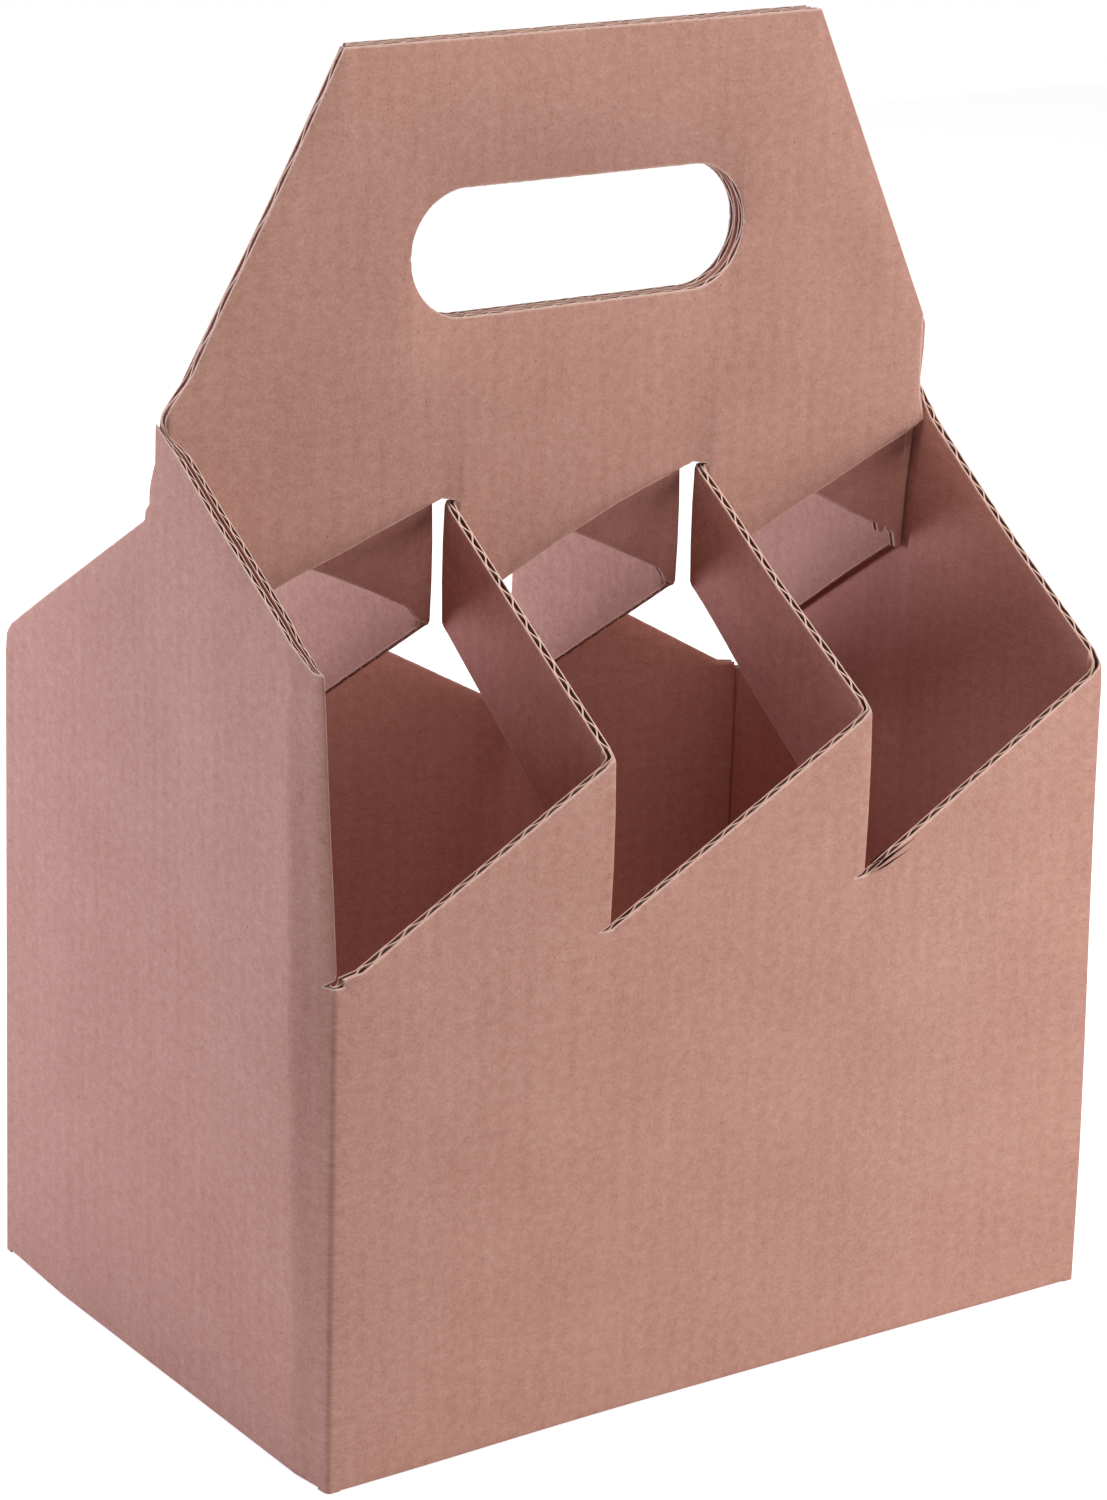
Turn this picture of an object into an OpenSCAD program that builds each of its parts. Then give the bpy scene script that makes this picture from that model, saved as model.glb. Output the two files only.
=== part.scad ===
// Six-bottle carrier, die-cut from one sheet of corrugated kraft board, folded and glued.
// X runs along the long walls, Y from front to back and Z up. The origin is the middle of the base.
// The front half is modelled once and the back half is the same half turned about Z, torn in another way.

/* [Board] */
// Thickness of the corrugated board
board_t = 3; // [2:0.1:5]
// Thickness of the board's liners and of the fluted layer between them
liner_t = 0.35; // [0.2:0.05:0.5]
// Distance between two flutes of the board
flute_pitch = 6.4; // [5:0.1:9]
// Radius inside a fold
fold_r = 0.4; // [0.2:0.1:1.5]
// Radius outside a fold, where the board is creased
crease_r = 1.2; // [0.4:0.1:2.4]

/* [Walls] */
// Length of the carrier outside
carrier_w = 228; // [215:1:300]
// Depth of the carrier outside
carrier_d = 155; // [120:1:220]
// Height of the notches in a long wall
notch_h = 125; // [90:1:128]
// Height of the peaks of a long wall, and of its corner with the low half of an end
peak_h = 167; // [150:1:175]
// Height of an end wall at the corner that it shares with a doubled strap
corner_h = 197; // [180:1:210]
// Height of the tall half of an end wall at the middle
end_tall_h = 238; // [225:1:240]
// Height of the low half of an end wall at the middle
end_low_h = 215.5; // [200:0.5:224]

/* [Straps] */
// Distance between the two straps of one half
strap_pitch = 74; // [60:1:90]
// How far the straps of one half sit off centre
strap_shift = 3.5; // [3:0.1:10]
// Height of a strap's lower edge at the long wall
strap_root_h = 136; // [130:1:140]
// Height of a strap's lower edge at the handle
strap_low_h = 179; // [165:1:185]
// Height of a strap's upper edge at the handle
strap_top_h = 210; // [200:1:214]

/* [Handle] */
// Height of the whole carrier
handle_h = 321.5; // [300:0.5:380]
// Height of the handle's shoulders
shoulder_h = 241; // [238:1:255]
// Length of the handle's top edge
handle_top_w = 137.5; // [110:0.5:170]
// Gap between a handle ply's free edge and the end wall
handle_clear = 4.8; // [1:0.1:10]
// Length of the hand hole
hole_w = 97; // [80:1:105]
// Height of the hand hole
hole_h = 31; // [24:1:36]
// Height of the hand hole's centre line
hole_z = 270.6; // [262:0.1:278]

/* [Base] */
// Length of an end flap, along X
end_flap_l = 62; // [40:1:80]
// How far the long flaps stop short of the end walls
flap_cut = 24; // [16:1:30]
// Where an end flap starts to climb onto the long flaps
ramp_start = 8; // [6:0.5:12]
// Gap between neighbouring flaps at a corner of the base
flap_clear = 1.2; // [0.5:0.1:3]
// Width of the seam between the two long flaps
seam = 1.2; // [0.5:0.1:3]
// How far the end walls stand above the ground
end_lift = 0.3; // [0.1:0.1:0.6]

/* [Hidden] */
$fn = 48;
KRAFT = "#B58A7A";

// Flats that round off a crease
CREASE_STEPS = 5;

half_w = carrier_w / 2;
half_d = carrier_d / 2;
fold_out = board_t + fold_r;

// Gap between two plies that are folded flat on each other
ply_gap = 2 * fold_r;

// Faces of the handle ply and of the doubled strap inside the end wall
handle_front = -ply_gap / 2 - board_t;
inner_left = -half_w + board_t + ply_gap;
inner_right = inner_left + board_t;

// Places where the panels give way to their folds
wall_x0 = -half_w + fold_out;
wall_x1 = half_w - fold_out;
wall_y0 = -half_d + fold_out;
wall_y1 = half_d - fold_out;
strap_y1 = handle_front - fold_r;
handle_x0 = inner_right + fold_r;
handle_x1 = half_w - board_t - handle_clear;

// Height of a doubled strap at the handle, where it is still flush with the end wall
doubled_h = end_tall_h + (end_tall_h - corner_h) * strap_y1 / -wall_y0;

// Right faces of the two straps of the front half
strap_x = [strap_shift - strap_pitch / 2, strap_shift + strap_pitch / 2];

// Reach of the base flaps, which are mitred from the corners of the base
long_flap_x = half_w - flap_cut;
end_flap_y = wall_y1 - (flap_cut - fold_out) - flap_clear;

// Half the width of a channel between a flute and the liner that closes it
flute_half = (flute_pitch - liner_t) / 2;

// Stretches of each panel that keep their open flutes, clear of the folds and tears, where the board is crushed
wall_spans = [[wall_x0, strap_x[0] - fold_out], [strap_x[0], strap_x[1] - fold_out], [strap_x[1], wall_x1]];
handle_spans = [[handle_x0, strap_x[0] - board_t], [strap_x[0] + fold_r, strap_x[1] - board_t],
                [strap_x[1] + fold_r, handle_x1]];
strap_spans = [[wall_y0, strap_y1]];

// Torn edges left where the two halves of each end wall were held together, from the top of the tall half down,
// in board thicknesses along Y and Z
TORN_LEFT = [[0, 0], [0, -3.3], [0.7, -3.8], [0.9, -4.7], [1.5, -5.3], [1.3, -6.2], [1.8, -6.8], [1.1, -7.3]];
TORN_RIGHT = [[-3, -1.65], [-3.1, -3], [-2.2, -4.1], [-1.9, -5.2], [-0.6, -6], [0.3, -6.8], [1.1, -7.3]];
// Torn nib at the lower corner of a handle ply, in board thicknesses along X and Z
TORN_NIB = [[0.1, -0.7], [0.6, -0.3], [1, -0.7], [1.5, 0.2], [1.9, 0]];

// Channel beside one flute, as a triangle on the inside of either liner
function channel(x, back) =
    let (root = back ? board_t - liner_t : liner_t)
    let (tip = back ? 2 * liner_t : board_t - 2 * liner_t)
    [[x - flute_half, root], [x + flute_half, root], [x, tip]];

// Channels of one stretch of flutes, on the two liners in turn
function channels(span) =
    let (count = floor((span[1] - span[0]) / flute_pitch))
    let (first = (span[0] + span[1] - count * flute_pitch) / 2)
    [for (k = [1:2 * count - 1]) channel(first + k * flute_pitch / 2, k % 2 == 0)];

// Section of the corrugated board along a panel, with the channels of its flutes
module board_section(reach, spans) {
    open = [for (span = spans) each channels(span)];
    sheet = [[-reach, 0], [reach, 0], [reach, board_t], [-reach, board_t]];
    polygon(concat(sheet, [for (c = open) each c]),
            concat([[0, 1, 2, 3]], [for (k = [1:len(open)]) [3 * k + 1, 3 * k + 2, 3 * k + 3]]));
}

// A flat panel parallel to the long walls, from its outline in X and Z, the place of its front face and its flutes
module panel_x(front, outline, spans) {
    intersection() {
        translate([0, front, 0])
            linear_extrude(handle_h + board_t)
                board_section(half_w, spans);
        translate([0, front + 2 * board_t, 0])
            rotate([90, 0, 0])
                linear_extrude(3 * board_t)
                    polygon(outline);
    }
}

// A flat panel parallel to the end walls, from its outline in Y and Z, the place of its left face and its flutes
module panel_y(left, outline, spans) {
    intersection() {
        translate([left + board_t, 0, 0])
            rotate([0, 0, 90])
                linear_extrude(handle_h)
                    board_section(half_d, spans);
        translate([left - board_t, 0, 0])
            rotate([90, 0, 90])
                linear_extrude(3 * board_t)
                    polygon(outline);
    }
}

// Quarter of an arc about a point, as points
function quarter(centre, radius) =
    [for (k = [0:CREASE_STEPS])
        [centre + radius * cos(90 * k / CREASE_STEPS), centre + radius * sin(90 * k / CREASE_STEPS)]];

// Section of the board at a fold by a right angle: crisp outside, where it is creased, down to the inner corner
module creased_section(inner) {
    core = fold_out - crease_r;
    polygon(concat([[fold_out, 0]], quarter(core, crease_r), [[0, fold_out]], inner));
}

// Board turned by right angles about Z, round inside
module bend(turn, quarters, length) {
    inner = quarter(0, fold_r);
    for (k = [0:quarters - 1])
        rotate([0, 0, turn + 90 * k])
            linear_extrude(length)
                creased_section([for (n = [CREASE_STEPS:-1:0]) inner[n]]);
}

// An upright fold between two heights
module upright_fold(x, y, turn, quarters, z0, z1) {
    translate([x, y, z0])
        bend(turn, quarters, z1 - z0);
}

// Long wall with three teeth, which give way to the straps at their upright edges
module long_wall() {
    teeth = [for (k = [1, 0]) each [
        [strap_x[k], notch_h],
        [strap_x[k], strap_root_h],
        [strap_x[k] - fold_out, strap_root_h],
        [strap_x[k] - fold_out, peak_h]
    ]];
    panel_x(-half_d, concat(
        [[wall_x0, fold_out], [wall_x1, fold_out], [wall_x1, peak_h]],
        teeth,
        [[wall_x0, notch_h]]), wall_spans);
}

// End wall, tall in its front half and low in its back half, torn at the step between them
module end_wall(torn) {
    step = [for (p = board_t * torn) [p[0], end_tall_h + p[1]]];
    last = len(step) - 1;
    torn_from = min([for (p = step) p[0]]);
    torn_to = max([for (p = step) p[0]]);
    root = end_lift + fold_out;
    panel_y(-half_w, concat(
        [[wall_y0, root], [wall_y1, root], [wall_y1, peak_h], [step[last][0], end_low_h]],
        [for (k = [last:-1:0]) step[k]],
        [[wall_y0, corner_h]]), [[wall_y0, torn_from], [torn_to, wall_y1]]);
}

// Foot of a corner, where three folds meet and the board is crushed solid
module corner_foot(x, y, turn) {
    translate([x, y, end_lift])
        rotate([0, 0, turn])
            linear_extrude(board_t)
                creased_section([[0, 0]]);
}

// Corner folds of the end wall: the front one up to the notch, the back one up to the peak
module corner_folds() {
    upright_fold(wall_x0, wall_y0, 180, 1, end_lift, notch_h);
    corner_foot(wall_x0, wall_y0, 180);
    upright_fold(wall_x0, wall_y1, 90, 1, end_lift, peak_h);
    corner_foot(wall_x0, wall_y1, 90);
}

// Strap doubled back inside the end wall from the tall corner, and turned into the handle ply
module doubled_strap() {
    upright_fold(wall_x0, wall_y0, 180, 2, notch_h, corner_h);
    panel_y(inner_left, [[wall_y0, notch_h], [strap_y1, strap_low_h],
                         [strap_y1, doubled_h], [wall_y0, corner_h]], strap_spans);
    upright_fold(handle_x0, strap_y1, 90, 1, strap_low_h, doubled_h);
}

// Strap that runs back from a tooth of the long wall to the handle ply
module strap(x) {
    upright_fold(x - fold_out, wall_y0, 270, 1, strap_root_h, peak_h);
    panel_y(x - board_t, [[wall_y0, strap_root_h], [strap_y1, strap_low_h],
                          [strap_y1, strap_top_h], [wall_y0, peak_h]], strap_spans);
    upright_fold(x + fold_r, strap_y1, 90, 1, strap_low_h, strap_top_h);
}

// One ply of the handle, with a toothed lower edge that the straps come out of
module handle_ply() {
    nib = [for (p = board_t * TORN_NIB) [handle_x0 + p[0], strap_low_h + p[1]]];
    lower = [for (x = strap_x) each [
        [x - board_t, strap_top_h],
        [x + fold_r, strap_top_h],
        [x + fold_r, strap_low_h]
    ]];
    difference() {
        panel_x(handle_front, concat(
            [[handle_x0, strap_low_h]],
            nib,
            lower,
            [[handle_x1, end_low_h], [handle_x1, shoulder_h],
             [handle_top_w / 2, handle_h], [-handle_top_w / 2, handle_h],
             [handle_x0, shoulder_h]]), handle_spans);
        hand_hole();
    }
}

// Hand hole with round ends
module hand_hole() {
    straight = hole_w - hole_h;
    through = 4 * board_t;
    translate([-straight / 2, -through / 2, hole_z - hole_h / 2])
        cube([straight, through, hole_h]);
    for (side = [-1, 1])
        translate([side * straight / 2, through / 2, hole_z])
            rotate([90, 0, 0])
                cylinder(d = hole_h, h = through);
}

// Long flap of the base, which lies on the ground and meets its twin at the seam
module long_flap() {
    mitre_y = wall_y0 + flap_cut - fold_out;
    linear_extrude(board_t)
        polygon([[wall_x0, wall_y0], [-long_flap_x, mitre_y], [-long_flap_x, -seam / 2],
                 [long_flap_x, -seam / 2], [long_flap_x, mitre_y], [wall_x1, wall_y0]]);
    translate([wall_x0, wall_y0, fold_out])
        rotate([0, 90, 0])
            bend(270, 1, wall_x1 - wall_x0);
}

// End flap of the base, which climbs onto the long flaps and is glued there
module end_flap() {
    free_x = -half_w + end_flap_l;
    ramp_x = -half_w + ramp_start;
    root_y = wall_y1 - flap_clear;
    intersection() {
        translate([0, half_d, 0])
            rotate([90, 0, 0])
                linear_extrude(carrier_d)
                    polygon([[wall_x0, end_lift], [ramp_x, end_lift], [-long_flap_x, board_t], [free_x, board_t],
                             [free_x, 2 * board_t], [-long_flap_x, 2 * board_t],
                             [ramp_x, end_lift + board_t], [wall_x0, end_lift + board_t]]);
        linear_extrude(3 * board_t)
            polygon([[wall_x0, -root_y], [-long_flap_x, -end_flap_y], [free_x, -end_flap_y],
                     [free_x, end_flap_y], [-long_flap_x, end_flap_y], [wall_x0, root_y]]);
    }
    translate([wall_x0, wall_y0, end_lift + fold_out])
        rotate([-90, 0, 0])
            bend(90, 1, wall_y1 - wall_y0);
}

// One half: long wall, end wall on its left, straps, handle ply and base flaps
module half(torn) {
    long_wall();
    end_wall(torn);
    corner_folds();
    doubled_strap();
    for (x = strap_x)
        strap(x);
    handle_ply();
    long_flap();
    end_flap();
}

module carrier() {
    color(KRAFT) {
        half(TORN_LEFT);
        rotate([0, 0, 180])
            half(TORN_RIGHT);
    }
}

carrier();
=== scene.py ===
import math

import bmesh
import bpy
from mathutils import Matrix, Vector, noise


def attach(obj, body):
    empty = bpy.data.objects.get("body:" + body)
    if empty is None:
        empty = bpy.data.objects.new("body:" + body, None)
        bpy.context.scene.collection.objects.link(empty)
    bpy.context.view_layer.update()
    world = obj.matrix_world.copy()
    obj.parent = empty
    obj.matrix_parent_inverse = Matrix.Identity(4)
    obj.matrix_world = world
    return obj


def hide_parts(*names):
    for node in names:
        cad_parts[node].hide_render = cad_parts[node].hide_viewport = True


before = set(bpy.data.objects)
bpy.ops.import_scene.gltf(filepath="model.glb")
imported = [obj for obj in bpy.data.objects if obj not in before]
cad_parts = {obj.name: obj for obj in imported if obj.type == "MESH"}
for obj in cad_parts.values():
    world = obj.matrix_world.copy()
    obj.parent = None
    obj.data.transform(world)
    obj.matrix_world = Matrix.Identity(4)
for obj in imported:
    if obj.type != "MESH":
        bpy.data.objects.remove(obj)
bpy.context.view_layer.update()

# Outer liner
# The smooth paper on the outside of the corrugated board, one sheet that is die-cut, scored and folded into
# the carrier. It is laid here as grids along the folded sheet, which are welded and then given their thickness.

MM = 0.001

# The board in mm: its thickness and flutes, the radii inside and outside a fold, how far the inside of a fold is
# crushed, and the width of the rim that is crushed along a cut edge
BOARD_T = 3.0
LINER_T = 0.35
FLUTE_PITCH = 6.4
FOLD_R = 0.4
CREASE_R = 1.2
CRUSH = 1.1
LIP = 1.0

# Walls: half the length and depth, heights of the notches, the peaks, the tall corner and the two halves of an end at
# the middle, where the tear starts, and where the corner strip of the left wall turns
HALF_W = 114.0
HALF_D = 77.5
NOTCH_H = 125.0
PEAK_H = 167.0
CORNER_H = 199.0
END_TALL_H = 238.0
END_LOW_H = 215.5
TEAR_Y = 5.4
CREASE_Y = -65.5

# Straps: where they leave the long wall and reach the handle, their heights at the handle, the slit beside them, and
# the heights of the doubled strap
STRAP_WALL_X = (-36.6, 39.5)
FRONT_STRAP_X = (-33.7, 40.5)
BACK_STRAP_X = (-32.3, 41.0)
STRAP_LOW_H = 179.0
STRAP_TOP_H = 210.0
SLIT_W = 1.6
DOUBLED_ROOT_H = 131.0
DOUBLED_H = 235.9

# Handle: its height, its shoulders, the two ends of the top edge and the free end of each ply, and the hand hole
HANDLE_H = 321.5
SHOULDER_H = 241.0
FRONT_HANDLE = (-67.3, 69.5, 107.1)
BACK_HANDLE = (-68.75, 64.4, 108.5)
HOLE_W = 97.0
HOLE_H = 31.0
HOLE_Z = 270.6

# Base: the mitre and clearance of the flaps, the seam, the length and lift of an end flap, and where it starts to climb
FLAP_CUT = 20.6
FLAP_CLEAR = 1.2
SEAM = 1.2
END_FLAP = 58.6
END_LIFT = 0.3
RAMP = 4.6

# Sizes that follow from these
MID = BOARD_T / 2
FOLD_MID = FOLD_R + MID
FOLD_OUT = FOLD_R + BOARD_T
WALL_X = HALF_W - FOLD_OUT
WALL_Y = HALF_D - FOLD_OUT
STRAP_Y = -FOLD_R - BOARD_T - FOLD_R
HANDLE_X = -WALL_X + 2 * FOLD_MID
DOUBLED_T = 2 * BOARD_T + 2 * FOLD_R
ARC = FOLD_MID * math.pi / 2

# Shares of a quarter turn at which a fold is laid, closest together at its crease
FOLD_SHARES = (0, 0.22, 0.366, 0.42, 0.47, 0.53, 0.58, 0.634, 0.78, 1)

# Where the walls start and end along the loop of the sheet, from the tear in the left end wall
END_S = TEAR_Y + WALL_Y
FRONT_S = END_S + ARC
RIGHT_S = FRONT_S + 2 * WALL_X
LOW_S = RIGHT_S + ARC
LAST_S = LOW_S + WALL_Y - TEAR_Y


def line(points):
    """Height along the sheet, straight between the points given."""
    def height(s):
        for (s0, z0), (s1, z1) in zip(points, points[1:]):
            if s <= s1:
                return z0 + (z1 - z0) * max(0.0, (s - s0)) / (s1 - s0)
        return points[-1][1]
    return height


def level(z):
    return lambda s: z


def ramp(value, start, end):
    """Smooth rise from 0 to 1 between two values."""
    t = max(0.0, min(1.0, (value - start) / (end - start)))
    return t * t * (3 - 2 * t)


def steps(marks, gap):
    """Distances along the sheet that hold every mark and lie no further apart than the gap."""
    marks = sorted(set(marks))
    out = [marks[0]]
    for a, b in zip(marks, marks[1:]):
        n = max(1, math.ceil((b - a) / gap))
        out += [a + (b - a) * k / n for k in range(1, n + 1)]
    return out


def crisp(share):
    """How far the creased outside of a right-angled fold stands out from a round one, at a share of its turn."""
    a = math.pi / 2 * min(share, 1 - share)
    core = FOLD_OUT - CREASE_R
    if FOLD_OUT * math.tan(a) <= core:
        return FOLD_OUT / math.cos(a) - FOLD_OUT
    across = core * (math.cos(a) + math.sin(a))
    return across + math.sqrt(core ** 2 * (math.sin(2 * a) - 1) + CREASE_R ** 2) - FOLD_OUT


def walk(start, heading, moves):
    """Path of the board's middle in plan, from runs in mm and turns in degrees, as place, outward side and faces."""
    x, y, h, s, legs = start[0], start[1], math.radians(heading), 0.0, []
    for kind, amount in moves:
        if kind == "run":
            legs.append((s, s + amount, x, y, h, 0))
            x, y, s = x + amount * math.cos(h), y + amount * math.sin(h), s + amount
        else:
            turn = math.radians(amount)
            side = 1 if turn > 0 else -1
            legs.append((s, s + abs(turn) * FOLD_MID, x, y, h, side))
            cx, cy = x - side * FOLD_MID * math.sin(h), y + side * FOLD_MID * math.cos(h)
            s, h = s + abs(turn) * FOLD_MID, h + turn
            x, y = cx + side * FOLD_MID * math.sin(h), cy - side * FOLD_MID * math.cos(h)

    def at(s):
        for s0, s1, x, y, h, side in legs:
            if s <= s1 + 1e-9:
                break
        d = s - s0
        if side == 0:
            return x + d * math.cos(h), y + d * math.sin(h), math.sin(h), -math.cos(h), MID, -MID
        cx, cy = x - side * FOLD_MID * math.sin(h), y + side * FOLD_MID * math.cos(h)
        turned = h + side * d / FOLD_MID
        share = min(1.0, d / (s1 - s0))
        peak = crisp(share) if s1 - s0 < 1.5 * ARC else 0.0
        crush = CRUSH * math.sin(math.pi * share) ** 2
        nx, ny = math.sin(turned), -math.cos(turned)
        outer, inner = (MID + peak, crush - MID) if side > 0 else (MID - crush, -MID - peak)
        return cx + side * FOLD_MID * nx, cy + side * FOLD_MID * ny, nx, ny, outer, inner
    return at


def strap_path(wall_x, handle_x):
    """Path of a strap that runs a little askew from the wall to the handle, with its fold's and its run's length."""
    turn = 90 - math.degrees(math.asin((handle_x - wall_x) / (WALL_Y + STRAP_Y)))
    a = math.radians(turn)
    run = (WALL_Y - 2 * FOLD_MID * (1 - math.cos(a))) / math.sin(a)
    path = walk((wall_x - FOLD_OUT, -HALF_D + MID), 0, [("turn", turn), ("run", run), ("turn", -turn)])
    return path, a * FOLD_MID, run


def outer_face(along, outer, inner):
    return outer


loop = walk((-HALF_W + MID, TEAR_Y), -90, [
    ("run", END_S), ("turn", 90), ("run", 2 * WALL_X), ("turn", 90), ("run", WALL_Y - TEAR_Y)])
nose = walk((-HALF_W + MID, -WALL_Y), -90, [("turn", 180), ("run", WALL_Y + STRAP_Y), ("turn", -90)])
handle = walk((HANDLE_X, -FOLD_R - MID), 0, [("run", HALF_W - HANDLE_X)])
NOSE_S = 2 * ARC

# Torn edges, along the sheet and up: the two end walls, from the low half to the tall half, and a nib
TEAR_LEFT = [(0.0, 214.1), (0.3, 216.6), (2.2, 218.6), (2.35, 222.6), (3.0, 224.8), (3.9, 226.7), (5.2, 229.0),
             (TEAR_Y, END_TALL_H)]
TEAR_RIGHT = [(0.0, 214.1), (2.1, 216.1), (4.5, 217.6), (7.2, 220.0), (11.1, 222.4), (12.0, 225.7), (14.2, 229.0),
              (14.4, 233.2)]
NIB = [(0.0, 179.0), (0.7, 182.6), (2.2, 184.4), (3.9, 185.0), (4.9, 183.4), (5.9, 183.9), (6.5, 186.0), (9.3, 187.3)]

# Lower edges of the handle's teeth, along X and up
FIRST_TOOTH = [(-89.1, 191.5), (-78.2, 196.8), (-67.1, 200.9), (-56.0, 205.1)]
MIDDLE_TOOTH = [(-29.5, 183.6), (-18.3, 189.2), (-4.0, 196.0), (13.8, 203.6)]
LAST_TOOTH = [(44.6, 183.7), (55.2, 189.3), (66.8, 194.8), (79.2, 200.0), (91.7, 205.6), (102.7, 210.9)]

# Rows up a panel, as a share of its height and a shift in mm
BODY_ROWS = [(0, 0), (0.25, 0), (0.5, 0), (0.75, 0), (1, -LIP), (1, 0)]
LOW_SHARE = 11 / 42
TALL_ROWS = [(0, 0), (0, LIP), (LOW_SHARE, 0), (0.5, 0), (0.625, 0), (0.75, -LIP), (0.75, 0), (0.75, LIP), (0.875, 0),
             (1, -LIP), (1, 0)]
STRAP_ROWS = [(0, 0), (0, LIP), (0.35, 0), (0.68, 0), (1, -LIP), (1, 0)]
FREE_ROWS = [(0, 0), (0, LIP), (2 * LOW_SHARE, 0), (1, 0)]
PLY_ROWS = [(0, 0), (0, LIP), (0.5, 0), (1, -LIP), (1, 0)]

# Cut edges round a fold, as a share of its turn and a rise from the peak or the notch
STRAP_BROW = [(0, -1.9), (0.45, 0.0), (0.55, 0.3), (1, 2.0)]
STRAP_FOOT = [(0, 0.0), (0.5, 0.8), (1, 6.0)]
CORNER_BROW = [(0, -1.7), (0.4, 0.0), (0.6, 1.6), (1, 3.7)]


def wall_s(x):
    return FRONT_S + x + WALL_X


def row_height(low, high, row):
    share, shift = row
    room = 0.3 * (high - low)
    return low + (high - low) * share + max(-room, min(room, shift))


def lay(bm, columns, rows, place, along, seed):
    """One grid of the sheet, from its columns along the sheet and its rows up it."""
    sheet_place = bm.verts.layers.float_vector["sheet_place"]
    outward = bm.verts.layers.float_vector["outward"]
    depth = bm.verts.layers.float["depth"]
    made = bmesh.ops.create_grid(bm, x_segments=len(columns) - 1, y_segments=len(rows) - 1, size=0.5)["verts"]
    for v in made:
        s = columns[round((v.co.x + 0.5) * (len(columns) - 1))]
        row = rows[round((v.co.y + 0.5) * (len(rows) - 1))]
        v.co, up, v[outward], v[depth] = place(s, row)
        v[sheet_place] = (along + s, up, seed)


def upright(path, low, high, face, along):
    """Place of a point on an upright panel, from its distance along the path and its row."""
    def place(s, row):
        x, y, nx, ny, outer, inner = path(s)
        d = face(along + s, outer, inner)
        z = row_height(low(s), high(s), row)
        return Vector((x + d * nx, y + d * ny, z)), z, (nx, ny, 0.0), d
    return place


def underside(path, reach, rise, lift, face):
    """Place of a point on a bottom fold or base flap, from its distance along the wall and its row under it."""
    def place(s, row):
        x, y, nx, ny, outer, inner = path(s)
        share, turn = row
        if turn is None:
            d = face(s, MID, -MID)
            e = share * reach(s)
            out, z, up, a = -FOLD_MID - e, rise(e) + MID - d, -e, math.pi / 2
        else:
            d = face(s, MID + crisp(turn / 90), -MID)
            a = math.radians(turn)
            out, z = -FOLD_MID + (FOLD_MID + d) * math.cos(a), FOLD_OUT + lift - (FOLD_MID + d) * math.sin(a)
            up = z
        normal = (nx * math.cos(a), ny * math.cos(a), -math.sin(a))
        return Vector((x + nx * out, y + ny * out, z)), up, normal, d
    return place


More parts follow.
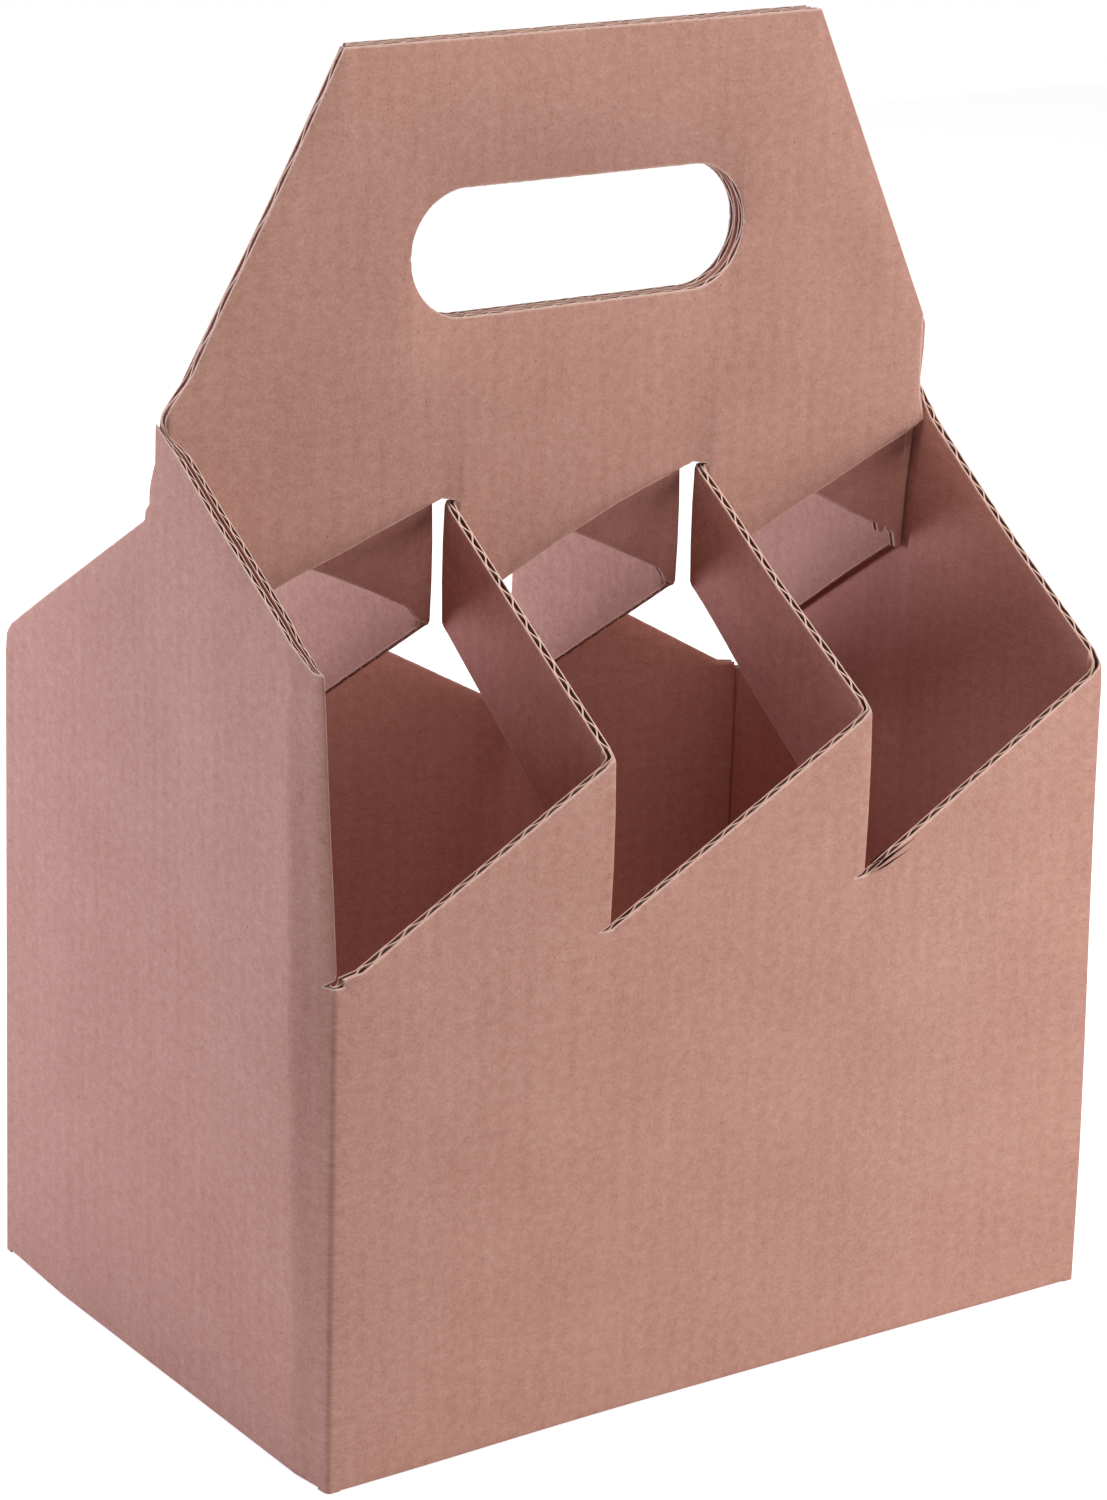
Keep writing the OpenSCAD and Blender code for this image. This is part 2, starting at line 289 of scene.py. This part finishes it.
def lay_half(bm, face, gap, tear, strap_x, handle_ends):
    """The front half of the sheet, on one face of the board, with its tear, straps and handle's ends as given."""
    top_left, top_right, free = handle_ends
    arc_marks = [start + ARC * k for k in FOLD_SHARES for start in (END_S, RIGHT_S)]
    tooth_marks = [wall_s(x - k) for x in STRAP_WALL_X for k in (FOLD_OUT, 0)]
    flap_marks = [wall_s(-WALL_X + FLAP_CUT), wall_s(WALL_X - FLAP_CUT)]
    end_marks = [END_S - FLAP_CLEAR, END_S - FLAP_CLEAR - FLAP_CUT, LOW_S + FLAP_CLEAR, LOW_S + FLAP_CLEAR + FLAP_CUT]
    tear_marks = [s for s, z in tear] + [TEAR_Y - CREASE_Y]
    around = steps([0, LAST_S] + arc_marks + tooth_marks + flap_marks + end_marks + tear_marks, gap)

    def stretch(s0, s1):
        return [s for s in around if s0 - 1e-6 <= s <= s1 + 1e-6]

    def panel(path, columns, rows, low, high, along=0.0, seed=0.0):
        lay(bm, columns, rows, upright(path, low, high, face, along), along, seed)

    # Walls up to the notches
    foot = line([(0, FOLD_OUT + END_LIFT), (END_S, FOLD_OUT + END_LIFT), (FRONT_S, FOLD_OUT), (RIGHT_S, FOLD_OUT),
                 (LOW_S, FOLD_OUT + END_LIFT), (LAST_S, FOLD_OUT + END_LIFT)])
    panel(loop, around, BODY_ROWS, foot, level(NOTCH_H))
    # Tall half of the end wall
    end_high = line(tear + [(END_S, CORNER_H)])
    panel(loop, stretch(0, END_S), TALL_ROWS, level(NOTCH_H), end_high)
    # Teeth of the long wall, each up to the fold of its strap
    for x0, x1 in ((-WALL_X, STRAP_WALL_X[0] - FOLD_OUT), (STRAP_WALL_X[0], STRAP_WALL_X[1] - FOLD_OUT)):
        s0, s1 = wall_s(x0), wall_s(x1)
        tooth_high = line([(s0, NOTCH_H), (s1, PEAK_H + STRAP_BROW[0][1])])
        panel(loop, stretch(s0, s1), STRAP_ROWS, level(NOTCH_H), tooth_high)
    # Last tooth, which turns the corner into the low half of the other end wall
    s0 = wall_s(STRAP_WALL_X[1])
    last_high = line([(s0, NOTCH_H)] + [(RIGHT_S + share * ARC, PEAK_H + rise) for share, rise in CORNER_BROW] +
                     [(LAST_S, tear[0][1])])
    panel(loop, stretch(s0, LAST_S), TALL_ROWS, level(NOTCH_H), last_high)
    # Strap doubled back inside the end wall
    nose_end = NOSE_S + WALL_Y + STRAP_Y
    marks = [NOSE_S * k / 12 for k in range(13)] + [nose_end + ARC * k for k in FOLD_SHARES]
    panel(nose, steps(marks + [NOSE_S + CREASE_Y + WALL_Y], gap), TALL_ROWS,
          line([(0, NOTCH_H), (NOSE_S, DOUBLED_ROOT_H), (nose_end, STRAP_LOW_H), (nose_end + ARC, STRAP_LOW_H)]),
          line([(0, CORNER_H), (NOSE_S, CORNER_H), (nose_end, DOUBLED_H), (nose_end + ARC, SHOULDER_H)]), END_S, 40.0)
    # Straps from the teeth to the handle
    folds = []
    for x, handle_x in zip(STRAP_WALL_X, strap_x):
        path, arc, run = strap_path(x, handle_x)
        end = arc + run + arc
        marks = [start + arc * k for k in FOLD_SHARES for start in (0, arc + run)]
        panel(path, steps(marks, gap), STRAP_ROWS,
              line([(share * arc, NOTCH_H + rise) for share, rise in STRAP_FOOT] +
                   [(arc + run, STRAP_LOW_H - 1.6), (end, STRAP_LOW_H + 1)]),
              line([(share * arc, PEAK_H + rise) for share, rise in STRAP_BROW] +
                   [(arc + run, STRAP_TOP_H - 1.9), (end - 0.5 * arc, STRAP_TOP_H), (end, STRAP_TOP_H)]),
              wall_s(x - FOLD_OUT), 80.0 + x)
        folds.append((path(end)[0] - FOLD_OUT - SLIT_W, path(end)[0]))
    # Handle ply, in teeth below, a part under the hand hole and a part over it
    def hs(x):
        return x - HANDLE_X
    straight, r = (HOLE_W - HOLE_H) / 2, HOLE_H / 2
    hole_marks = [hs(side * (straight + r * math.cos(math.pi / 2 * k / 14))) for k in range(15) for side in (-1, 1)]
    teeth = [hs(x) for x, z in FIRST_TOOTH + MIDDLE_TOOTH + LAST_TOOTH] + [s for s, z in NIB]
    across = steps([0, hs(free), hs(top_left), hs(top_right)] + hole_marks +
                   [hs(x) for pair in folds for x in pair] + teeth, gap)

    def part(x0, x1):
        return [s for s in across if hs(x0) - 1e-6 <= s <= hs(x1) + 1e-6]

    slit_top = [(hs(x), STRAP_TOP_H + rise) for pair in folds for x, rise in zip(pair, (1.2, 0.0))]
    tooth_top = line([(0, (STRAP_LOW_H + SHOULDER_H) / 2)] + slit_top + [(hs(free), END_LOW_H - 2)])
    along = END_S + nose_end + ARC

    def tooth(rows, points, start, end):
        panel(handle, part(start, end), rows, line(points), tooth_top, along, 200.0)

    tooth(FREE_ROWS, NIB + [(hs(x), z) for x, z in FIRST_TOOTH] + [slit_top[0]], HANDLE_X, folds[0][0])
    for (start, end), points, last in (((folds[0][1], folds[1][0]), MIDDLE_TOOTH, slit_top[2]),
                                       ((folds[1][1], free), LAST_TOOTH, (hs(free), END_LOW_H - 2))):
        tooth(STRAP_ROWS, [(hs(start), STRAP_LOW_H + 1)] + [(hs(x), z) for x, z in points] + [last], start, end)
    middle = line([(0, 0.75 * SHOULDER_H + 0.25 * STRAP_LOW_H), (hs(-HOLE_W / 2), HOLE_Z), (hs(HOLE_W / 2), HOLE_Z),
                   (hs(free), (SHOULDER_H + END_LOW_H) / 2 - 1)])

    def hole_edge(side):
        def height(s):
            x = abs(s + HANDLE_X)
            if x >= HOLE_W / 2:
                return middle(s)
            return HOLE_Z + side * math.sqrt(max(0.0, r * r - max(0.0, x - straight) ** 2))
        return height

    top = line([(0, SHOULDER_H), (hs(top_left), HANDLE_H), (hs(top_right), HANDLE_H), (hs(free), SHOULDER_H)])
    panel(handle, across, PLY_ROWS, tooth_top, hole_edge(-1), along, 200.0)
    panel(handle, across, PLY_ROWS, hole_edge(1), top, along, 200.0)
    # Feet of the corners, bottom folds and base flaps
    for s0, s1 in ((END_S, FRONT_S), (RIGHT_S, LOW_S)):
        panel(loop, stretch(s0, s1), [(0, 0), (1, 0)], level(END_LIFT), foot)
    fold_rows = [(0, 90 * (1 - k)) for k in FOLD_SHARES]

    def flap(s0, s1, reach, most, rise, lift):
        """A bottom fold, the mitred root of its flap and the straight rest of the flap."""
        shares = [1, 0.75, 0.5, 0.25, 0]
        columns = [s for s in stretch(s0, s1) if reach(s) > -1e-6]
        lay(bm, stretch(s0, s1), fold_rows, underside(loop, None, None, lift, face), 0.0, 0.0)
        lay(bm, columns, [(k, None) for k in shares],
            underside(loop, lambda s: min(FLAP_CUT, reach(s)), rise, lift, face), 0.0, 0.0)
        root = FLAP_CUT / most
        lay(bm, [s for s in columns if reach(s) > FLAP_CUT - 1e-6], [(1, None), ((1 + root) / 2, None), (root, None)],
            underside(loop, level(most), rise, lift, face), 0.0, 0.0)

    def climb(e):
        return END_LIFT + (BOARD_T - END_LIFT) * max(0.0, min(1.0, (e - RAMP) / (FLAP_CUT - RAMP)))

    flap(FRONT_S, RIGHT_S, lambda s: min(s - FRONT_S, RIGHT_S - s), WALL_Y - SEAM / 2, level(0.0), 0.0)
    flap(0, END_S, lambda s: END_S - FLAP_CLEAR - s, END_FLAP, climb, END_LIFT)
    flap(LOW_S, LAST_S, lambda s: s - LOW_S - FLAP_CLEAR, END_FLAP, climb, END_LIFT)


# Slackness of the folded board, along Y unless said: the pinch of a doubled strap as a share of its depth, the bow of
# the left wall at its top and its foot, its turned corner strip up Z, the right end's lean and flare, and the spread
PINCH = [(-HALF_D, 0.8), (-74, 0.68), (-70, 0.57), (-66, 0.5), (-60, 0.42), (-35, 0.36)]
FRONT_PINCH = line(PINCH + [(-10, 0.42), (-4, 0.74), (0, 0.86), (3, 0.0)])
BACK_PINCH = line(PINCH + [(-10, 0.3), (0, 0.3), (3, 0.0)])
BOW_HIGH = line([(CREASE_Y, 4.6), (-60, 4.2), (-43.9, 3.5), (-27.6, 2.9), (-13.7, 1.8), (0, 1.2), (50, 0.8),
                 (HALF_D, 0.0)])
BOW_LOW = line([(CREASE_Y, 1.7), (45, 1.7), (HALF_D, 0.0)])
CORNER = line([(0, 0.0), (NOTCH_H, 0.9), (172, -2.0), (CORNER_H, -3.5)])
LEAN = 4.2
FLARE = 1.85
SPREAD = 0.026
INSIDE_X = 107.5


def squeezed(co, pinch):
    """The doubled strap is pressed against its end wall, most at the corner and where the handle starts."""
    depth = co.x + HALF_W
    hold = pinch(co.y) * ramp(co.z, NOTCH_H - 2, NOTCH_H + 4) * (1 - 0.42 * ramp(co.z, SHOULDER_H, SHOULDER_H + 9))
    if depth > DOUBLED_T + 0.05:
        depth = DOUBLED_T * (1 - ramp(depth, DOUBLED_T, 55)) * ramp(co.y, -72, -60)
    return Vector((co.x - depth * hold, co.y, co.z))


def settled(co):
    """How the folded board gives: the left wall bows out, its corner strip turns in and the right end leans in."""
    x, y, z = co
    up = min(1.0, z / 170)
    side = BOW_HIGH(y) * up + BOW_LOW(y) * (1 - up)
    turn = max(0.0, (CREASE_Y - y) / (CREASE_Y + HALF_D))
    side = (turn * (side + CORNER(z)) - side) * (1 - ramp(x, -106, -80))
    lean = LEAN * ramp(z, 10, PEAK_H) * (1 - ramp(z, 185, SHOULDER_H)) * (max(0.0, x + 75) / 189) ** 2
    if x < INSIDE_X:
        lean *= ramp(-y, 4, 40) if y < 0 else ramp(x, 60, 100)
    if y > 0:
        lean *= 1 - ramp(y, 8, 70)
    flare = 0.0
    if -4 < y < 0 and x < INSIDE_X and z > 205:
        flare = FLARE * max(0.0, min(1.0, (222 - z) / 8)) * ramp(x, 90, 106)
    spread = 1 + SPREAD * max(0.0, 1 - z / PEAK_H) * ramp(-x, 20, HALF_W)
    return Vector((x + side - lean + flare, y * spread, z))


# How far a cut edge and the row next to it are crushed, as a share of their depth in the board
EDGE_CRUSH = 0.3
NEXT_CRUSH = 0.12
HALF_TURN = Matrix.Rotation(math.pi, 3, "Z")


def paper_layer(name, face, thick, gap, ragged, seed):
    """One paper of the board: both halves of its sheet welded, its cut edges roughened, and its thickness given."""
    bm = bmesh.new()
    sheet_place = bm.verts.layers.float_vector.new("sheet_place")
    outward = bm.verts.layers.float_vector.new("outward")
    depth = bm.verts.layers.float.new("depth")
    back = bm.verts.layers.int.new("back")
    lay_half(bm, face, gap, TEAR_RIGHT, BACK_STRAP_X, BACK_HANDLE)
    bmesh.ops.rotate(bm, verts=bm.verts, cent=(0, 0, 0), matrix=HALF_TURN)
    for v in bm.verts:
        v[outward] = (-v[outward].x, -v[outward].y, v[outward].z)
        v[sheet_place] = (v[sheet_place].x + LAST_S, v[sheet_place].y, v[sheet_place].z)
        v[back] = 1
    lay_half(bm, face, gap, TEAR_LEFT, FRONT_STRAP_X, FRONT_HANDLE)
    sheet = bm.loops.layers.float_vector.new("sheet")
    for f in bm.faces:
        for corner in f.loops:
            corner[sheet] = corner.vert[sheet_place]
    bmesh.ops.remove_doubles(bm, verts=bm.verts, dist=0.002)
    bmesh.ops.dissolve_degenerate(bm, edges=bm.edges, dist=0.002)
    cut = bm.verts.layers.float.new("cut_edge")
    moves = []
    for v in bm.verts:
        if v.co.z < 8:
            continue
        if v.is_boundary:
            v[cut] = 1.0
            inward = sum((f.calc_center_median() - v.co for f in v.link_faces), Vector())
            inward -= inward.dot(v[outward]) * v[outward]
            rough = noise.noise(Vector((v[sheet_place].x * 0.55, v[sheet_place].y * 0.55, seed)))
            shift = inward.normalized() * ragged * (0.4 + rough) if inward.length > 1e-6 else Vector()
            moves.append((v, shift - EDGE_CRUSH * v[depth] * v[outward]))
        elif any(e.other_vert(v).is_boundary for e in v.link_edges):
            moves.append((v, -NEXT_CRUSH * v[depth] * v[outward]))
    for v, shift in moves:
        v.co += shift
    far = bmesh.ops.extrude_face_region(bm, geom=bm.faces[:], use_keep_orig=True, use_normal_flip=True)["geom"]
    for v in far:
        if isinstance(v, bmesh.types.BMVert):
            v.co -= thick * v[outward]
    for v in bm.verts:
        if v[back]:
            v.co = settled(HALF_TURN @ squeezed(HALF_TURN @ v.co, BACK_PINCH))
        else:
            v.co = settled(squeezed(v.co, FRONT_PINCH))
    bmesh.ops.recalc_face_normals(bm, faces=bm.faces[:])
    bmesh.ops.scale(bm, vec=(MM, MM, MM), verts=bm.verts)
    for f in bm.faces:
        f.smooth = True
    for e in bm.edges:
        e.smooth = len(e.link_faces) == 2 and e.calc_face_angle(0.0) < math.radians(40)
    mesh = bpy.data.meshes.new(name)
    for layer in (outward, sheet_place):
        bm.verts.layers.float_vector.remove(layer)
    bm.verts.layers.float.remove(depth)
    bm.verts.layers.int.remove(back)
    bm.to_mesh(mesh)
    bm.free()
    piece = bpy.data.objects.new(name, mesh)
    bpy.context.scene.collection.objects.link(piece)
    return piece


def linear(code):
    """Linear colour of an sRGB hex code."""
    parts = [int(code[k:k + 2], 16) / 255 for k in (1, 3, 5)]
    return tuple(c / 12.92 if c <= 0.04045 else ((c + 0.055) / 1.055) ** 2.4 for c in parts) + (1.0,)


def node(tree, kind, inputs, **settings):
    """One node with its settings, its values and its links."""
    made = tree.nodes.new(kind)
    for key, value in settings.items():
        setattr(made, key, value)
    for key, value in inputs.items():
        if isinstance(value, bpy.types.NodeSocket):
            tree.links.new(value, made.inputs[key])
        else:
            made.inputs[key].default_value = value
    return made


def kraft_paper(name, light, dark, worn, wrinkle):
    """Unbleached kraft liner off a paper machine: matt, mottled, with soft streaks where the flutes print through:
    bumps and faint painted shade.
    """
    material = bpy.data.materials.new(name)
    material.use_nodes = True
    tree = material.node_tree
    shader = tree.nodes["Principled BSDF"]
    sheet = node(tree, "ShaderNodeAttribute", {}, attribute_name="sheet").outputs["Vector"]
    along = node(tree, "ShaderNodeSeparateXYZ", {0: sheet}).outputs["X"]
    turn = node(tree, "ShaderNodeMath", {0: along, 1: 2 * math.pi / FLUTE_PITCH}, operation="MULTIPLY").outputs[0]
    pattern = {"ridge": node(tree, "ShaderNodeMath", {0: turn}, operation="SINE").outputs[0],
               "cut": node(tree, "ShaderNodeAttribute", {}, attribute_name="cut_edge").outputs["Fac"]}
    # Sizes in mm, stretch up the sheet and detail. Fibres are finer than the specks, which are this coarse to show.
    for key, size, up, detail in (("clouds", 30.0, 1.0, 2.0), ("mottle", 2.4, 1.0, 2.0), ("streak", 2.2, 0.05, 2.0),
                                  ("specks", 0.7, 1.0, 2.0), ("flecks", 1.3, 1.0, 1.0), ("wrinkle", 9.0, 2.2, 2.0)):
        grid = node(tree, "ShaderNodeVectorMath", {0: sheet, 1: (1 / size, up / size, 1.0)},
                    operation="MULTIPLY").outputs[0]
        pattern[key] = node(tree, "ShaderNodeTexNoise", {"Vector": grid, "Scale": 1.0, "Detail": detail,
                                                         "Roughness": 0.55}).outputs["Fac"]
    # Sums of the patterns: the paper's tone, where its cut edges are rubbed pale, and its height in mm
    # The flute ridge is a real bump in the height and a faint painted shade in the tone
    blend = {"tone": [("clouds", 0.4), ("mottle", 0.75), ("streak", 0.2), ("specks", 0.95), ("ridge", 0.03)],
             "rub": [("cut", 0.8), ("specks", 0.5)],
             "height": [("specks", 0.05), ("streak", 0.015), ("mottle", 0.06), ("ridge", 0.012), ("wrinkle", wrinkle)]}
    total = {}
    for key, parts in blend.items():
        total[key] = 0.0
        for part, weight in parts:
            total[key] = node(tree, "ShaderNodeMath", {0: pattern[part], 1: weight, 2: total[key]},
                              operation="MULTIPLY_ADD").outputs[0]
    # Tone, dark flecks of bark and pale rubbed edges, one over the other
    paper = linear(dark)
    for value, least, most, amount, colour in ((total["tone"], 0.7, 1.6, 1.0, light),
                                               (pattern["flecks"], 0.74, 0.8, 0.5, "#5E3B30"),
                                               (total["rub"], 0.55, 1.1, 0.9, worn)):
        share = node(tree, "ShaderNodeMapRange", {"Value": value, "From Min": least, "From Max": most,
                                                  "To Max": amount}).outputs[0]
        paper = node(tree, "ShaderNodeMix", {0: share, 6: paper, 7: linear(colour)}, data_type="RGBA").outputs[2]
    tree.links.new(paper, shader.inputs["Base Color"])
    bump = node(tree, "ShaderNodeBump", {"Height": total["height"], "Strength": 1.0, "Distance": MM}).outputs[0]
    tree.links.new(bump, shader.inputs["Normal"])
    shader.inputs["Roughness"].default_value = 0.85
    shader.inputs["IOR"].default_value = 1.47
    shader.inputs["Specular IOR Level"].default_value = 0.25
    return material


outer_liner = paper_layer("outer_liner", outer_face, LINER_T, gap=1.6, ragged=0.12, seed=1.0)
outer_liner.data.materials.append(kraft_paper("kraft_liner_outside", "#C99D8F", "#A8786A", "#DFC0B4", 0.0))
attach(outer_liner, "root")
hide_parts("carrier")

# Fluting
# The waved paper between the two liners, of the same brown pulp, pressed into waves and glued to both liners at its
# crests. It gives the board its thickness, and shows at every cut edge.

MEDIUM_T = 0.45


def flute(along, outer, inner):
    swing = (outer - inner) / 2 - LINER_T - MEDIUM_T / 2
    return (outer + inner) / 2 + MEDIUM_T / 2 + swing * math.sin(2 * math.pi * along / FLUTE_PITCH)


fluting = paper_layer("fluting", flute, MEDIUM_T, gap=0.8, ragged=0.15, seed=2.0)
fluting.data.materials.append(kraft_paper("fluting_paper", "#B58573", "#8A5A4A", "#E2C4B6", 0.0))
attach(fluting, "root")
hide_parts("carrier")

# Inner liner
# The paper on the inside of the board, kraft like the outer one and glued to the crests of the fluting.
# Its colour is a little warmer, in part a painted reflection of the reddish light bounced about inside the carrier.
# It wrinkles because it lies on the inside of the folds.


def inner_face(along, outer, inner):
    return inner + LINER_T


inner_liner = paper_layer("inner_liner", inner_face, LINER_T, gap=1.6, ragged=0.12, seed=3.0)
# Warmer, redder colours than the outer liner's: in part painted bounce light from the brown inside of the carrier
inner_liner.data.materials.append(kraft_paper("kraft_liner_inside_painted_bounce", "#CC9588", "#B0766A", "#DDBCAE", 0.15))
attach(inner_liner, "root")
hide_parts("carrier")

# Floor
# A plain white studio floor of matt paper, laid flat under the carrier. It keeps the carrier's soft shadow, and is
# not part of the object.

floor_mesh = bmesh.new()
bmesh.ops.create_grid(floor_mesh, x_segments=1, y_segments=1, size=1.3)
floor_data = bpy.data.meshes.new("floor")
floor_mesh.to_mesh(floor_data)
floor_mesh.free()
floor = bpy.data.objects.new("floor", floor_data)
bpy.context.scene.collection.objects.link(floor)
# Matt white paper, which looks evenly white to the camera apart from the shadow on it
white = bpy.data.materials.new("studio_paper")
white.use_nodes = True
shader = white.node_tree.nodes["Principled BSDF"]
shader.inputs["Base Color"].default_value = linear("#E6E6E6")
shader.inputs["Roughness"].default_value = 0.9
shader.inputs["Specular IOR Level"].default_value = 0.0
ray = node(white.node_tree, "ShaderNodeLightPath", {}).outputs["Is Camera Ray"]
shader.inputs["Emission Color"].default_value = (1, 1, 1, 1)
glow = node(white.node_tree, "ShaderNodeMath", {0: ray, 1: 0.76}, operation="MULTIPLY").outputs[0]
white.node_tree.links.new(glow, shader.inputs["Emission Strength"])
floor_data.materials.append(white)

# Lights
# Plain soft studio light from four round boxes: a key low at the front right, a wide one above and two cool ones at
# the back left. The room around them is an even white.


def softbox(name, place, size, power, colour):
    data = bpy.data.lights.new(name, "AREA")
    data.shape = "DISK"
    data.size = size
    data.energy = power
    data.color = colour
    lamp = bpy.data.objects.new(name, data)
    bpy.context.scene.collection.objects.link(lamp)
    lamp.location = place
    lamp.rotation_euler = (Vector((0, 0, 0.15)) - Vector(place)).to_track_quat("-Z", "Y").to_euler()


softbox("key", (0.35, -0.45, 0.06), 0.4, 2.25, (1.0, 0.99, 0.98))
softbox("top", (0.1, -0.35, 1.5), 0.8, 17.5, (1.0, 0.98, 0.96))
softbox("left", (-0.9, 0.7, 0.35), 0.6, 5.9, (0.84, 0.85, 1.0))
softbox("low_left", (-0.45, 0.55, 0.12), 0.4, 2.1, (0.84, 0.85, 1.0))

world = bpy.data.worlds.new("studio")
bpy.context.scene.world = world
world.use_nodes = True
sky = world.node_tree.nodes["Background"]
paths = node(world.node_tree, "ShaderNodeLightPath", {})
seen = node(world.node_tree, "ShaderNodeMath", {0: paths.outputs["Is Camera Ray"], 1: paths.outputs["Is Glossy Ray"]},
            operation="MAXIMUM").outputs[0]
seen = node(world.node_tree, "ShaderNodeMath", {0: seen, 1: paths.outputs["Is Transmission Ray"]},
            operation="MAXIMUM").outputs[0]
level_of_room = node(world.node_tree, "ShaderNodeMapRange", {"Value": seen, "To Min": 0.14, "To Max": 1.0}).outputs[0]
world.node_tree.links.new(level_of_room, sky.inputs["Strength"])
sky.inputs["Color"].default_value = (1, 1, 1, 1)

# Camera
# A long lens at the photograph's own viewing angle, a little above the carrier and to its front left.
# Its place was fitted to the corners of the carrier.

FOCAL_PX = 4554.4
FRAME_H = 1500
# Azimuth, elevation and roll in degrees, and the place in metres
VIEW_ANGLES = (-34.831, 18.311, 1.787)
VIEW_PLACE = (-0.61663, -0.88412, 0.49740)
camera_data = bpy.data.cameras.new("camera")
camera_data.sensor_width = 36
camera_data.lens = 36 * FOCAL_PX / FRAME_H
camera = bpy.data.objects.new("camera", camera_data)
bpy.context.scene.collection.objects.link(camera)
az, el, roll = (math.radians(a) for a in VIEW_ANGLES)
back = Vector((math.sin(az) * math.cos(el), -math.cos(az) * math.cos(el), math.sin(el)))
side = Vector((0, 0, 1)).cross(back).normalized()
up = back.cross(side)
right = math.cos(roll) * side + math.sin(roll) * up
top = -math.sin(roll) * side + math.cos(roll) * up
pose = Matrix((right, top, back)).transposed().to_4x4()
pose.translation = VIEW_PLACE
camera.matrix_world = pose
camera_data.clip_end = 20
bpy.context.scene.camera = camera

bpy.context.scene.view_settings.view_transform = "Standard"
